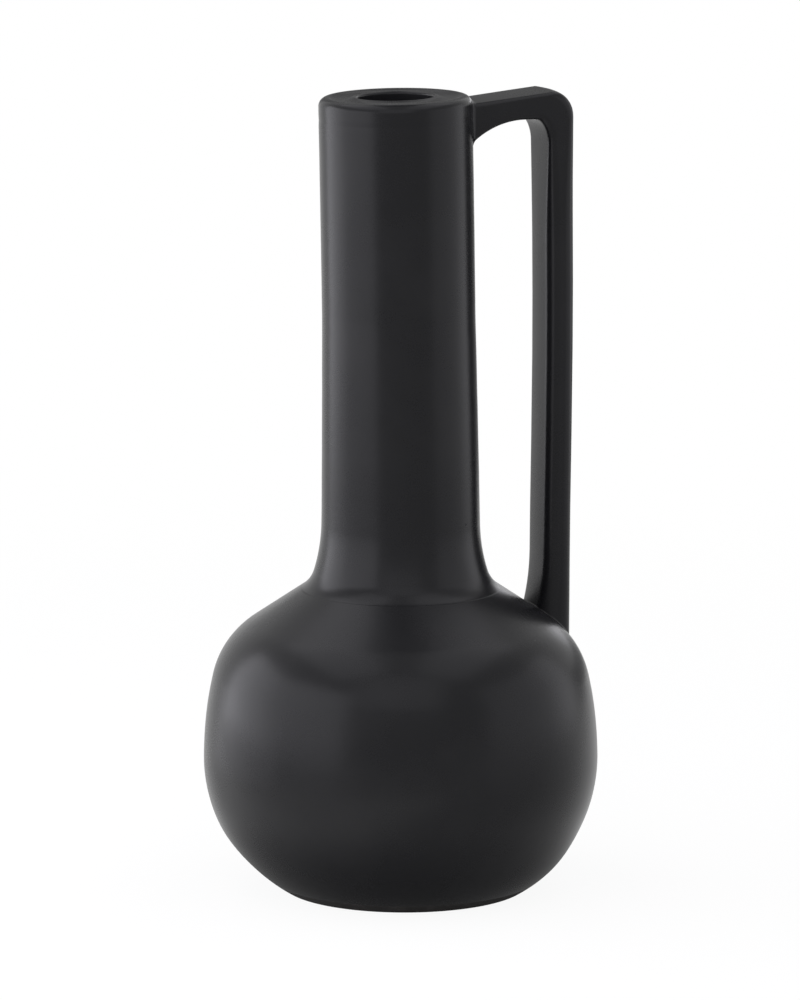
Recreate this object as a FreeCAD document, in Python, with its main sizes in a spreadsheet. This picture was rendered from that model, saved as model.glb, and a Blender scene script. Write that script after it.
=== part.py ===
import FreeCAD, Part
import Sketcher
import math
import os
import re

# Lekythos: a tall-necked oil bottle with one strap handle, in black glazed stoneware.
# The axis of the turned pieces is Z, the foot stands on Z = 0 and the handle is along +X.
# Lengths are millimetres and angles are degrees from the horizontal plane unless said.

doc = FreeCAD.newDocument("Lekythos")

SIZES = [
    ("vessel_height", 320.0, "foot to the crest of the lip"),
    ("wall", 6.0, "thrown wall of belly, floor and neck"),
    ("foot_height", 4.0, "depth of the turned recess under the floor"),
    ("foot_width", 8.5, "ring that stands on the table"),
    ("foot_edge_radius", 1.2, "wear rounding on the ring's outer edge"),
    ("belly_radius", 79.0, "widest radius"),
    ("equator_height", 53.3, "height of the widest radius"),
    ("lower_arc", 61.6, "radius of the curve under the equator"),
    ("side_arc", 152.6, "radius of the slow curve above the equator"),
    ("side_angle", 12.6, "turn of that slow curve"),
    ("shoulder_arc", 35.8, "radius of the curve into the shoulder"),
    ("shoulder_angle", 56.2, "surface normal of the straight shoulder"),
    ("seam_radius", 39.9, "shoulder radius where the neck is luted on"),
    ("cove_radius", 12.7, "hollow of the luting clay round the neck"),
    ("cove_end_angle", 17.2, "surface normal where that hollow meets the neck"),
    ("neck_root_arc", 69.8, "radius of the flare at the neck's root"),
    ("neck_radius", 30.5, "outside of the straight neck"),
    ("neck_taper_top", 233.3, "height where the taper ends and the neck runs straight"),
    ("mouth_height", 9.0, "thickness of the mouth ring"),
    ("bore_radius", 15.2, "pouring bore"),
    ("lip_radius", 3.6, "rounding of the lip's outer edge"),
    ("inner_lip_radius", 2.4, "rounding of the ridge round the bore"),
    ("lip_groove_radius", 15.0, "hollow between the lip and that ridge"),
    ("handle_inset", 9.5, "outer face of the handle inside the widest radius"),
    ("handle_width", 23.2, "strap width across"),
    ("post_thickness", 9.9, "strap thickness of the upright post"),
    ("arm_thickness", 10.3, "strap thickness of the level arm"),
    ("handle_edge_radius", 2.2, "soft long edges of the strap"),
    ("handle_corner_radius", 12.0, "outside of the bend between arm and post"),
    ("handle_inner_corner_radius", 5.3, "inside of that bend"),
    ("arm_rise_angle", 5.6, "slope of the arm's top from the neck to the bend"),
    ("arch_run", 4.3, "level underside between the inside of the bend and the arch"),
    ("arch_drop", 8.6, "how much deeper that arch makes the arm at its drawn root"),
    ("handle_bite", 4.0, "how far the arm is drawn inside the neck before it is trimmed"),
    ("post_flare_radius", 85.0, "inner face where the post spreads on the shoulder"),
    ("post_flare_rise", 10.7, "start of that spread above the neck seam"),
    ("post_flare_angle", 25.0, "turn of that spread before it is trimmed"),
    ("upper_luting_radius", 2.0, "clay smoothed round the arm's root"),
    ("lower_luting_radius", 2.0, "clay smoothed round the post's root"),
]

sheet = doc.addObject("Spreadsheet::Sheet", "Sizes")
for row, (alias, value, meaning) in enumerate(SIZES, start=1):
    sheet.set(f"A{row}", meaning)
    sheet.set(f"B{row}", str(value))
    sheet.setAlias(f"B{row}", alias)
doc.recompute()
size = {alias: float(sheet.get(alias)) for alias, value, meaning in SIZES}

# The sketcher's names for a curve's points and for the fixed axes.
START, END, CENTRE = range(1, 4)
TABLE, AXIS = range(-1, -3, -1)
ORIGIN = (TABLE, START)

FULL_TURN, HALF_TURN, QUARTER_TURN = 360, 180, 90
VESSEL_AXIS = FreeCAD.Vector(0, 0, 0), FreeCAD.Vector(0, 0, 1)

# Differences under these count as none, in size and between computed surfaces.
TOUCH = 1e-5
CONTACT = 1e-3
UP = FreeCAD.Vector(0, 0, 1)


def at(radius, height):
    """A point of a profile: distance from the axis, then height."""
    return FreeCAD.Vector(radius, height, 0)


def round_from(centre, radius, angle):
    """The point of a circle at an angle in degrees from the level outward direction."""
    turn = math.radians(angle)
    return centre + FreeCAD.Vector(math.cos(turn), math.sin(turn), 0) * radius


def formula(words):
    """A sum of named sizes written as an expression on the sheet."""
    return re.sub(r"[a-z]\w*", lambda found: f"Sizes.{found.group()}", words)


class Profile:
    """A sketch on a body's XZ plane, drawn where the sizes put it and then constrained."""

    def __init__(self, body, name):
        self.sketch = body.newObject("Sketcher::SketchObject", name)
        plane = next(item for item in body.Origin.OriginFeatures if item.Role == "XZ_Plane")
        self.sketch.AttachmentSupport = (plane, "")
        self.sketch.MapMode = "FlatFace"

    def line(self, start, end, guide=False):
        return self.sketch.addGeometry(Part.LineSegment(start, end), guide)

    def arc(self, centre, radius, first, last, guide=False):
        circle = Part.Circle(centre, UP, radius)
        bent = Part.ArcOfCircle(circle, math.radians(first), math.radians(last))
        return self.sketch.addGeometry(bent, guide)

    def rule(self, *words):
        self.sketch.addConstraint(Sketcher.Constraint(*words))

    def join(self, edge, end, other, other_end):
        self.rule("Coincident", edge, end, other, other_end)

    def smooth(self, edge, end, other, other_end):
        self.rule("Tangent", edge, end, other, other_end)

    def level(self, edge):
        self.rule("Horizontal", edge)

    def level_with(self, edge, end, other, other_end):
        self.rule("Horizontal", edge, end, other, other_end)

    def upright(self, edge):
        self.rule("Vertical", edge)

    def on_axis(self, edge, end):
        self.rule("PointOnObject", edge, end, AXIS)

    def on_table(self, edge, end):
        self.rule("PointOnObject", edge, end, TABLE)

    def bind(self, constraint, words):
        index = self.sketch.addConstraint(constraint)
        self.sketch.setExpression(f"Constraints[{index}]", words)

    def radius(self, edge, words):
        drawn = self.sketch.Geometry[edge].Radius
        self.bind(Sketcher.Constraint("Radius", edge, drawn), formula(words))

    def length(self, edge, words):
        drawn = self.sketch.Geometry[edge].length()
        self.bind(Sketcher.Constraint("Distance", edge, drawn), formula(words))

    def out(self, edge, end, words):
        """Hold a point's distance from the axis."""
        drawn = self.sketch.getPoint(edge, end).x
        self.bind(Sketcher.Constraint("DistanceX", *ORIGIN, edge, end, drawn), formula(words))

    def height(self, edge, end, words):
        """Hold a point's height above the table."""
        drawn = self.sketch.getPoint(edge, end).y
        self.bind(Sketcher.Constraint("DistanceY", *ORIGIN, edge, end, drawn), formula(words))

    def above(self, edge, end, other, other_end, words):
        """Hold how far the second point is above the first."""
        drawn = self.sketch.getPoint(other, other_end).y - self.sketch.getPoint(edge, end).y
        rise = Sketcher.Constraint("DistanceY", edge, end, other, other_end, drawn)
        self.bind(rise, formula(words))

    def turn(self, edge, words, degrees):
        """Hold an arc's turn, or a line's direction."""
        angle = Sketcher.Constraint("Angle", edge, math.radians(degrees))
        self.bind(angle, f"({formula(words)}) * 1 deg")


def new_body(name):
    body = doc.addObject("PartDesign::Body", name)
    body.Label = name
    return body


def revolve(body, profile, kind="PartDesign::Revolution"):
    """Turn a profile once round the vessel's axis, as solid or as cut."""
    turned = body.newObject(kind, f"{profile.sketch.Name}_turned")
    turned.Profile = profile.sketch
    turned.ReferenceAxis = (profile.sketch, ["V_Axis"])
    turned.Angle = FULL_TURN
    doc.recompute()
    return turned


def hollow(body, solid, *open_heights):
    """Take out the inside of a turned solid, open at the level faces of these heights."""
    shell = body.newObject("PartDesign::Thickness", f"{body.Name}_hollow")
    open_faces = [
        f"Face{number}"
        for number, face in enumerate(solid.Shape.Faces, start=1)
        if any(abs(z - height) < TOUCH for z in face_heights(face) for height in open_heights)
    ]
    shell.Base = (solid, open_faces)
    shell.setExpression("Value", "Sizes.wall")
    shell.Reversed = True
    shell.Join = "Intersection"
    doc.recompute()


def face_heights(face):
    """The height of a level face, or nothing for any other."""
    return [face.BoundBox.ZMin] if face.BoundBox.ZLength < TOUCH else []


def round_off(body, base, name, edges, alias):
    """Fillet the named edges of a body's last feature."""
    soft = body.newObject("PartDesign::Fillet", name)
    soft.Base = (base, edges)
    soft.setExpression("Radius", f"Sizes.{alias}")
    doc.recompute()
    return soft


# Shoulder: from the equator up two tangent arcs and a straight slope to the neck seam.
# The same curve carries the belly, seats the neck and its luting, and trims the handle's foot.

equator = at(size["belly_radius"], size["equator_height"])
lower_centre = equator - at(size["lower_arc"], 0)
side_centre = equator - at(size["side_arc"], 0)
side_top = round_from(side_centre, size["side_arc"], size["side_angle"])
shoulder_centre = round_from(side_top, -size["shoulder_arc"], size["side_angle"])
shoulder_top = round_from(shoulder_centre, size["shoulder_arc"], size["shoulder_angle"])
slope_run = shoulder_top.x - size["seam_radius"]
slope_rise = slope_run / math.tan(math.radians(size["shoulder_angle"]))
seam = shoulder_top + at(-slope_run, slope_rise)


def draw_shoulder(profile, guide=False):
    """Draw the shoulder curve and give back its lowest arc and its slope."""
    side = profile.arc(side_centre, size["side_arc"], 0, size["side_angle"], guide)
    bend = profile.arc(
        shoulder_centre, size["shoulder_arc"], size["side_angle"], size["shoulder_angle"], guide
    )
    slope = profile.line(shoulder_top, seam, guide)
    profile.radius(side, "side_arc")
    profile.radius(bend, "shoulder_arc")
    profile.smooth(side, END, bend, START)
    profile.smooth(bend, END, slope, START)
    profile.turn(side, "side_angle", size["side_angle"])
    profile.turn(bend, "shoulder_angle - side_angle", size["shoulder_angle"] - size["side_angle"])
    profile.height(side, CENTRE, "equator_height")
    profile.height(side, START, "equator_height")
    profile.out(side, START, "belly_radius")
    profile.out(slope, END, "seam_radius")
    return side, slope


def draw_underside(profile, low, high):
    """Draw the curve under the equator between two heights."""
    first = math.degrees(math.asin((low - equator.y) / size["lower_arc"]))
    last = math.degrees(math.asin((high - equator.y) / size["lower_arc"]))
    under = profile.arc(lower_centre, size["lower_arc"], first, last)
    profile.radius(under, "lower_arc")
    profile.height(under, CENTRE, "equator_height")
    return under


# Belly: thrown as one bowl closed in to the seam, with its floor above the foot ring.

belly = new_body("belly")
belly_profile = Profile(belly, "belly_outline")
side, slope = draw_shoulder(belly_profile)
under = draw_underside(belly_profile, size["foot_height"], equator.y)
rim = belly_profile.line(seam, at(0, seam.y))
core = belly_profile.line(at(0, seam.y), at(0, size["foot_height"]))
base = belly_profile.line(
    at(0, size["foot_height"]), belly_profile.sketch.getPoint(under, START)
)
belly_profile.join(under, END, side, START)
belly_profile.join(slope, END, rim, START)
belly_profile.join(rim, END, core, START)
belly_profile.join(core, END, base, START)
belly_profile.join(base, END, under, START)
belly_profile.level(rim)
belly_profile.level(base)
belly_profile.on_axis(core, START)
belly_profile.on_axis(core, END)
belly_profile.height(base, START, "foot_height")
belly_solid = revolve(belly, belly_profile)
hollow(belly, belly_solid, seam.y)

# Foot ring: the turned ring that stands on the table, following the belly's curve down.

foot_ring = new_body("foot_ring")
foot_profile = Profile(foot_ring, "foot_ring_outline")
under = draw_underside(foot_profile, 0, size["foot_height"])
foot_edge = foot_profile.sketch.getPoint(under, START)
foot_top_edge = foot_profile.sketch.getPoint(under, END)
foot_inner_radius = foot_edge.x - size["foot_width"]
stand = foot_profile.line(at(foot_inner_radius, 0), foot_edge)
seat = foot_profile.line(foot_top_edge, at(foot_inner_radius, size["foot_height"]))
inside = foot_profile.line(at(foot_inner_radius, size["foot_height"]), at(foot_inner_radius, 0))
foot_profile.join(stand, END, under, START)
foot_profile.join(under, END, seat, START)
foot_profile.join(seat, END, inside, START)
foot_profile.join(inside, END, stand, START)
foot_profile.out(under, CENTRE, "belly_radius - lower_arc")
foot_profile.level(stand)
foot_profile.level(seat)
foot_profile.upright(inside)
foot_profile.on_table(stand, START)
foot_profile.height(seat, START, "foot_height")
foot_profile.length(stand, "foot_width")
foot_solid = revolve(foot_ring, foot_profile)
table_edges = [
    f"Edge{number}"
    for number, edge in enumerate(foot_solid.Shape.Edges, start=1)
    if edge.BoundBox.ZMax < TOUCH and edge.BoundBox.ZLength < TOUCH and edge.Closed
]
round_off(foot_ring, foot_solid, "foot_wear", table_edges, "foot_edge_radius")

# Neck: thrown as a tapered tube with a flared root, and luted on the shoulder.

cove_centre = round_from(seam, size["cove_radius"], size["shoulder_angle"])
cove_top = round_from(cove_centre, -size["cove_radius"], size["cove_end_angle"])
cove_turn = size["shoulder_angle"] - size["cove_end_angle"]
root_centre = round_from(cove_top, size["neck_root_arc"], size["cove_end_angle"])
taper_top = at(size["neck_radius"], size["neck_taper_top"])
to_root = taper_top - root_centre
root_slant = math.degrees(math.acos(size["neck_root_arc"] / to_root.Length))
root_end = math.degrees(math.atan2(to_root.y, to_root.x)) % FULL_TURN + root_slant
root_top = round_from(root_centre, size["neck_root_arc"], root_end)
neck_top = size["vessel_height"] - size["mouth_height"]


def draw_cove(profile, guide=False):
    """Draw the luting's hollow over guides of the shoulder, and give back both curves."""
    side, slope = draw_shoulder(profile, guide=True)
    first = size["cove_end_angle"] + HALF_TURN
    last = size["shoulder_angle"] + HALF_TURN
    cove = profile.arc(cove_centre, size["cove_radius"], first, last, guide)
    profile.radius(cove, "cove_radius")
    profile.smooth(slope, END, cove, END)
    profile.turn(cove, "shoulder_angle - cove_end_angle", cove_turn)
    return slope, cove


neck = new_body("neck")
neck_profile = Profile(neck, "neck_outline")
slope, cove = draw_cove(neck_profile, guide=True)
root = neck_profile.arc(
    root_centre, size["neck_root_arc"], root_end, size["cove_end_angle"] + HALF_TURN
)
taper = neck_profile.line(root_top, taper_top)
straight = neck_profile.line(taper_top, at(size["neck_radius"], neck_top))
top = neck_profile.line(at(size["neck_radius"], neck_top), at(0, neck_top))
core = neck_profile.line(at(0, neck_top), at(0, seam.y))
base = neck_profile.line(at(0, seam.y), at(cove_top.x, seam.y))
collar = neck_profile.line(at(cove_top.x, seam.y), cove_top)
neck_profile.smooth(cove, START, root, END)
neck_profile.radius(root, "neck_root_arc")
neck_profile.smooth(root, START, taper, START)
neck_profile.join(taper, END, straight, START)
neck_profile.join(straight, END, top, START)
neck_profile.join(top, END, core, START)
neck_profile.join(core, END, base, START)
neck_profile.join(base, END, collar, START)
neck_profile.join(collar, END, root, END)
neck_profile.upright(straight)
neck_profile.level(top)
neck_profile.level(base)
neck_profile.upright(collar)
neck_profile.on_axis(core, START)
neck_profile.on_axis(core, END)
neck_profile.out(taper, END, "neck_radius")
neck_profile.height(taper, END, "neck_taper_top")
neck_profile.height(top, START, "vessel_height - mouth_height")
neck_profile.level_with(base, END, slope, END)
neck_solid = revolve(neck, neck_profile)
hollow(neck, neck_solid, seam.y, neck_top)

# Neck luting: the ring of clay smoothed into the corner between shoulder and neck.

neck_luting = new_body("neck_luting")
luting_profile = Profile(neck_luting, "neck_luting_outline")
slope, cove = draw_cove(luting_profile)
bed = luting_profile.line(at(cove_top.x, seam.y), seam)
back = luting_profile.line(cove_top, at(cove_top.x, seam.y))
luting_profile.join(bed, END, cove, END)
luting_profile.join(back, END, bed, START)
luting_profile.join(back, START, cove, START)
luting_profile.level(bed)
luting_profile.upright(back)
revolve(neck_luting, luting_profile)

# Mouth ring: a thick rim with a rounded lip, a shallow groove and a ridge round the bore.

lip_centre = at(size["neck_radius"] - size["lip_radius"], size["vessel_height"] - size["lip_radius"])
ridge_centre = at(
    size["bore_radius"] + size["inner_lip_radius"],
    size["vessel_height"] - size["inner_lip_radius"],
)
to_ridge = ridge_centre - lip_centre
lip_reach = size["lip_groove_radius"] + size["lip_radius"]
ridge_reach = size["lip_groove_radius"] + size["inner_lip_radius"]
along = (lip_reach**2 - ridge_reach**2 + to_ridge.Length**2) / (2 * to_ridge.Length)
across = math.sqrt(lip_reach**2 - along**2)
inward = to_ridge / to_ridge.Length
groove_centre = lip_centre + inward * along + at(inward.y, -inward.x) * across
to_lip = lip_centre - groove_centre
from_ridge = ridge_centre - groove_centre
lip_turn = math.degrees(math.atan2(-to_lip.y, -to_lip.x))
ridge_turn = math.degrees(math.atan2(-from_ridge.y, -from_ridge.x))

mouth_ring = new_body("mouth_ring")
mouth_profile = Profile(mouth_ring, "mouth_ring_outline")
lip = mouth_profile.arc(lip_centre, size["lip_radius"], 0, lip_turn)
groove = mouth_profile.arc(
    groove_centre, size["lip_groove_radius"], ridge_turn + HALF_TURN, lip_turn + HALF_TURN
)
ridge = mouth_profile.arc(ridge_centre, size["inner_lip_radius"], ridge_turn, HALF_TURN)
bore = mouth_profile.line(
    at(size["bore_radius"], ridge_centre.y), at(size["bore_radius"], neck_top)
)
seat = mouth_profile.line(at(size["bore_radius"], neck_top), at(size["neck_radius"], neck_top))
outside = mouth_profile.line(
    at(size["neck_radius"], neck_top), at(size["neck_radius"], lip_centre.y)
)
mouth_profile.smooth(outside, END, lip, START)
mouth_profile.smooth(lip, END, groove, END)
mouth_profile.smooth(groove, START, ridge, START)
mouth_profile.smooth(ridge, END, bore, START)
mouth_profile.join(bore, END, seat, START)
mouth_profile.join(seat, END, outside, START)
mouth_profile.upright(bore)
mouth_profile.upright(outside)
mouth_profile.level(seat)
mouth_profile.radius(lip, "lip_radius")
mouth_profile.radius(groove, "lip_groove_radius")
mouth_profile.radius(ridge, "inner_lip_radius")
mouth_profile.height(lip, CENTRE, "vessel_height - lip_radius")
mouth_profile.height(ridge, CENTRE, "vessel_height - inner_lip_radius")
mouth_profile.height(seat, END, "vessel_height - mouth_height")
mouth_profile.out(bore, END, "bore_radius")
mouth_profile.out(outside, START, "neck_radius")
revolve(mouth_ring, mouth_profile)

# Handle: one pulled strap, up from the shoulder and bent over to the neck under the lip.

handle_out = size["belly_radius"] - size["handle_inset"]
handle_in = handle_out - size["post_thickness"]
arm_under = size["vessel_height"] - size["arm_thickness"]
bend_centre = at(handle_out, size["vessel_height"]) - at(1, 1) * size["handle_corner_radius"]
bend_top = round_from(
    bend_centre, size["handle_corner_radius"], QUARTER_TURN + size["arm_rise_angle"]
)
arm_root = size["neck_radius"] - size["handle_bite"]
arm_root_top = bend_top.y - (bend_top.x - arm_root) * math.tan(math.radians(size["arm_rise_angle"]))
crook_centre = at(handle_in, arm_under) - at(1, 1) * size["handle_inner_corner_radius"]
arch_start = at(crook_centre.x - size["arch_run"], arm_under)
arch_end = at(arm_root, arm_under - size["arch_drop"])
arch_radius = (arch_end - arch_start).Length ** 2 / (2 * size["arch_drop"])
arch_centre = arch_start - at(0, arch_radius)
arch_turn = math.degrees(math.asin((arch_start.x - arm_root) / arch_radius))
flare_centre = at(handle_in - size["post_flare_radius"], seam.y + size["post_flare_rise"])
flare_end = round_from(flare_centre, size["post_flare_radius"], -size["post_flare_angle"])

handle = new_body("handle")
strap_profile = Profile(handle, "strap_outline")
side, slope = draw_shoulder(strap_profile, guide=True)
arm_top = strap_profile.line(at(arm_root, arm_root_top), bend_top)
bend = strap_profile.arc(
    bend_centre, size["handle_corner_radius"], 0, QUARTER_TURN + size["arm_rise_angle"]
)
post_out = strap_profile.line(at(handle_out, bend_centre.y), at(handle_out, equator.y))
post_foot = strap_profile.line(at(handle_out, equator.y), at(flare_end.x, equator.y))
heel = strap_profile.line(at(flare_end.x, equator.y), flare_end)
flare = strap_profile.arc(flare_centre, size["post_flare_radius"], -size["post_flare_angle"], 0)
post_in = strap_profile.line(at(handle_in, flare_centre.y), at(handle_in, crook_centre.y))
crook = strap_profile.arc(crook_centre, size["handle_inner_corner_radius"], 0, QUARTER_TURN)
arm_low = strap_profile.line(at(crook_centre.x, arm_under), arch_start)
arch = strap_profile.arc(arch_centre, arch_radius, QUARTER_TURN, QUARTER_TURN + arch_turn)
arm_end = strap_profile.line(arch_end, at(arm_root, arm_root_top))
strap_profile.smooth(arm_top, END, bend, END)
strap_profile.smooth(bend, START, post_out, START)
strap_profile.join(post_out, END, post_foot, START)
strap_profile.join(post_foot, END, heel, START)
strap_profile.join(heel, END, flare, START)
strap_profile.smooth(flare, END, post_in, START)
strap_profile.smooth(post_in, END, crook, START)
strap_profile.smooth(crook, END, arm_low, START)
strap_profile.smooth(arm_low, END, arch, START)
strap_profile.join(arch, END, arm_end, START)
strap_profile.join(arm_end, END, arm_top, START)
strap_profile.upright(post_out)
strap_profile.level(post_foot)
strap_profile.upright(heel)
strap_profile.upright(post_in)
strap_profile.level(arm_low)
strap_profile.upright(arm_end)
strap_profile.turn(arm_top, "arm_rise_angle", size["arm_rise_angle"])
strap_profile.turn(flare, "post_flare_angle", size["post_flare_angle"])
strap_profile.radius(bend, "handle_corner_radius")
strap_profile.radius(crook, "handle_inner_corner_radius")
strap_profile.radius(flare, "post_flare_radius")
strap_profile.height(bend, CENTRE, "vessel_height - handle_corner_radius")
strap_profile.out(post_out, START, "belly_radius - handle_inset")
strap_profile.out(post_in, END, "belly_radius - handle_inset - post_thickness")
strap_profile.out(arm_end, END, "neck_radius - handle_bite")
strap_profile.height(arm_low, START, "vessel_height - arm_thickness")
strap_profile.length(arm_low, "arch_run")
strap_profile.height(arch, END, "vessel_height - arm_thickness - arch_drop")
strap_profile.height(post_foot, START, "equator_height")
strap_profile.above(slope, END, flare, END, "post_flare_rise")

strap = handle.newObject("PartDesign::Pad", "strap")
strap.Profile = strap_profile.sketch
strap.SideType = "Symmetric"
strap.setExpression("Length", "Sizes.handle_width")
doc.recompute()
half_width = size["handle_width"] / 2
long_edges = [
    f"Edge{number}"
    for number, edge in enumerate(strap.Shape.Edges, start=1)
    if edge.BoundBox.YLength < TOUCH
    and abs(abs(edge.BoundBox.YMin) - half_width) < TOUCH
    and edge.BoundBox.XMax > arm_root + TOUCH
    and edge.BoundBox.ZMax > flare_end.y + TOUCH
]
soft_strap = round_off(handle, strap, "soft_edges", long_edges, "handle_edge_radius")

# The strap is pressed on the leather-hard vessel, so both its ends take the vessel's curves.

trim_profile = Profile(handle, "vessel_outline")
side, slope = draw_shoulder(trim_profile)
lip = trim_profile.arc(lip_centre, size["lip_radius"], 0, QUARTER_TURN)
ledge = trim_profile.line(seam, at(size["neck_radius"], seam.y))
tube = trim_profile.line(at(size["neck_radius"], seam.y), at(size["neck_radius"], lip_centre.y))
cap = trim_profile.line(at(lip_centre.x, size["vessel_height"]), at(0, size["vessel_height"]))
core = trim_profile.line(at(0, size["vessel_height"]), at(0, 0))
ground = trim_profile.line(at(0, 0), at(equator.x, 0))
wall = trim_profile.line(at(equator.x, 0), equator)
trim_profile.join(slope, END, ledge, START)
trim_profile.join(ledge, END, tube, START)
trim_profile.smooth(tube, END, lip, START)
trim_profile.smooth(lip, END, cap, START)
trim_profile.join(cap, END, core, START)
trim_profile.join(core, END, ground, START)
trim_profile.join(ground, END, wall, START)
trim_profile.join(wall, END, side, START)
trim_profile.level(ledge)
trim_profile.upright(tube)
trim_profile.level(cap)
trim_profile.on_axis(core, START)
trim_profile.on_axis(core, END)
trim_profile.on_table(ground, START)
trim_profile.on_table(ground, END)
trim_profile.upright(wall)
trim_profile.radius(lip, "lip_radius")
trim_profile.height(cap, START, "vessel_height")
trim_profile.out(tube, END, "neck_radius")
revolve(handle, trim_profile, "PartDesign::Groove")

# Handle lutings: a bead of clay smoothed round each end of the strap.
# The beads are what a rolling-ball fillet adds to the strap and the vessel's half on its side.

vessel_side = Part.Face(trim_profile.sketch.Shape.Wires).revolve(*VESSEL_AXIS, HALF_TURN)
vessel_side.rotate(*VESSEL_AXIS, -QUARTER_TURN)
pressed_on = soft_strap.Shape.fuse(vessel_side)


def lies_on(edge, form):
    """Tell whether an edge's ends and middle all touch a form."""
    first, last = edge.ParameterRange
    places = (first, (first + last) / 2, last)
    return all(Part.Vertex(edge.valueAt(place)).distToShape(form)[0] < CONTACT for place in places)


meeting_edges = [
    edge
    for edge in pressed_on.Edges
    if edge.BoundBox.XMin > 0 and lies_on(edge, soft_strap.Shape) and lies_on(edge, vessel_side)
]


def lute(name, alias, edges):
    """Make the bead of clay along these meeting edges."""
    filled = pressed_on.makeFillet(size[alias], edges)
    clay = doc.addObject("Part::Feature", name)
    clay.Shape = filled.cut([soft_strap.Shape, vessel_side], CONTACT)
    clay.Label = name
    clay.Placement = FreeCAD.Placement()
    return clay


arm_edges = [edge for edge in meeting_edges if edge.BoundBox.ZMin > flare_centre.y]
post_edges = [edge for edge in meeting_edges if edge.BoundBox.ZMin < flare_centre.y]
upper_handle_luting = lute("upper_handle_luting", "upper_luting_radius", arm_edges)
lower_handle_luting = lute("lower_handle_luting", "lower_luting_radius", post_edges)
doc.recompute()

pieces = [
    foot_ring,
    belly,
    neck_luting,
    neck,
    mouth_ring,
    handle,
    upper_handle_luting,
    lower_handle_luting,
]

for item in doc.Objects:
    if "Invalid" in item.State or "Error" in item.State:
        raise RuntimeError(f"{item.Name} did not build: {item.State}")
for piece in pieces:
    if piece.Shape.isNull() or not piece.Shape.isValid() or piece.Shape.Volume <= 0:
        raise RuntimeError(f"{piece.Label} is not a sound solid")

os.makedirs("parts", exist_ok=True)
for piece in pieces:
    piece.Shape.exportStep(f"parts/{piece.Label}.step")
    print(piece.Label, len(piece.Shape.Solids), "solid", round(piece.Shape.Volume), "mm3")
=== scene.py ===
import math

import bpy
import numpy as np
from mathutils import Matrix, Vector


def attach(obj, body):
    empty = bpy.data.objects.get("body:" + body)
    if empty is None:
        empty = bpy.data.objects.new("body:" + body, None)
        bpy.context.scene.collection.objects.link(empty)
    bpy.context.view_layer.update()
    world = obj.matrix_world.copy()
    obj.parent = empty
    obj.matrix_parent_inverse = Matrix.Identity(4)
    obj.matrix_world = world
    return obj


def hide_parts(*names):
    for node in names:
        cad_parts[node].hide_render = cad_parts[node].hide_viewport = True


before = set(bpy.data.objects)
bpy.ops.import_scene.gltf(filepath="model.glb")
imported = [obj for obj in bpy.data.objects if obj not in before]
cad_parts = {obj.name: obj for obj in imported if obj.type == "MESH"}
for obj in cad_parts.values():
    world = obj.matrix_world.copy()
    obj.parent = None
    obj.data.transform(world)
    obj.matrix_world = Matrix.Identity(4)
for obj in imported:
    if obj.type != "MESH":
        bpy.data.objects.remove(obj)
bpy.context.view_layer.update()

# Foot ring. The ring that the vessel stands on, cut from the thick base while the
# leather-hard clay turns upside down. It is left bare, because glaze would stick to the
# kiln shelf, so its dark clay shows and its edges are worn soft.

BELLY_RADIUS = 79.0
EQUATOR = 53.3
LOWER_ARC = 61.6
FOOT_HEIGHT = 4.0
FOOT_WIDTH = 8.5
FOOT_OUTER_WEAR = 3.0
FOOT_INNER_WEAR = 0.9
BARE_CLAY = (0.019, 0.0175, 0.0165, 1)
RUBBED_CLAY = (0.036, 0.033, 0.031, 1)
COLUMNS = 256
METRES = 0.001
SHARP_ANGLE = 38

VIEW_AZIMUTH = math.radians(-20.75)
PICTURE_RIGHT = np.array([math.cos(VIEW_AZIMUTH), math.sin(VIEW_AZIMUTH)])
SAME_PLACE = 1e-6

# What makes this vessel differ from a perfectly turned one, in millimetres and shares.

LEAN_START = 148.5
LEAN_HEIGHT = 171.5
LEAN = 2.16
BENT_SHARE = 0.5
STRAIGHT_SHARE = 0.52
EASE_SHARE = 0.04
TIP_SHARE = 0.85
TIP_PIVOT = 27.0
FOOT_SHIFT = 1.65
FOOT_SHIFT_HEIGHT = 18.5
OVAL_DEPTH = 0.03
OVAL_TWIST = 40.0
FINGER_DEPTH = 0.02
FINGER_PITCH = 3.7
WAVE_FADE = 8.0


def crowded(count):
    """Shares from 0 to 1 that lie closer at both ends, by half a cosine wave."""
    return (1 - np.cos(np.pi * np.linspace(0, 1, count))) / 2


def bend(centre, radius, first, last, count):
    """An arc: the centre plus the radius times cosine and sine, from angle to angle."""
    angle = np.radians(first + (last - first) * crowded(count))
    return np.asarray(centre) + radius * np.stack([np.cos(angle), np.sin(angle)], axis=-1)


def run(start, end, count=10):
    """A straight line: start plus a crowded share of the way to the end."""
    return np.asarray(start) + crowded(count)[:, None] * (np.asarray(end) - np.asarray(start))


def outline(*stretches):
    """Stretches laid end to end, with each shared end kept once."""
    points = np.concatenate(stretches)
    step = np.linalg.norm(np.diff(points, axis=0), axis=1)
    return points[np.concatenate([[True], step > SAME_PLACE])]


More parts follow.
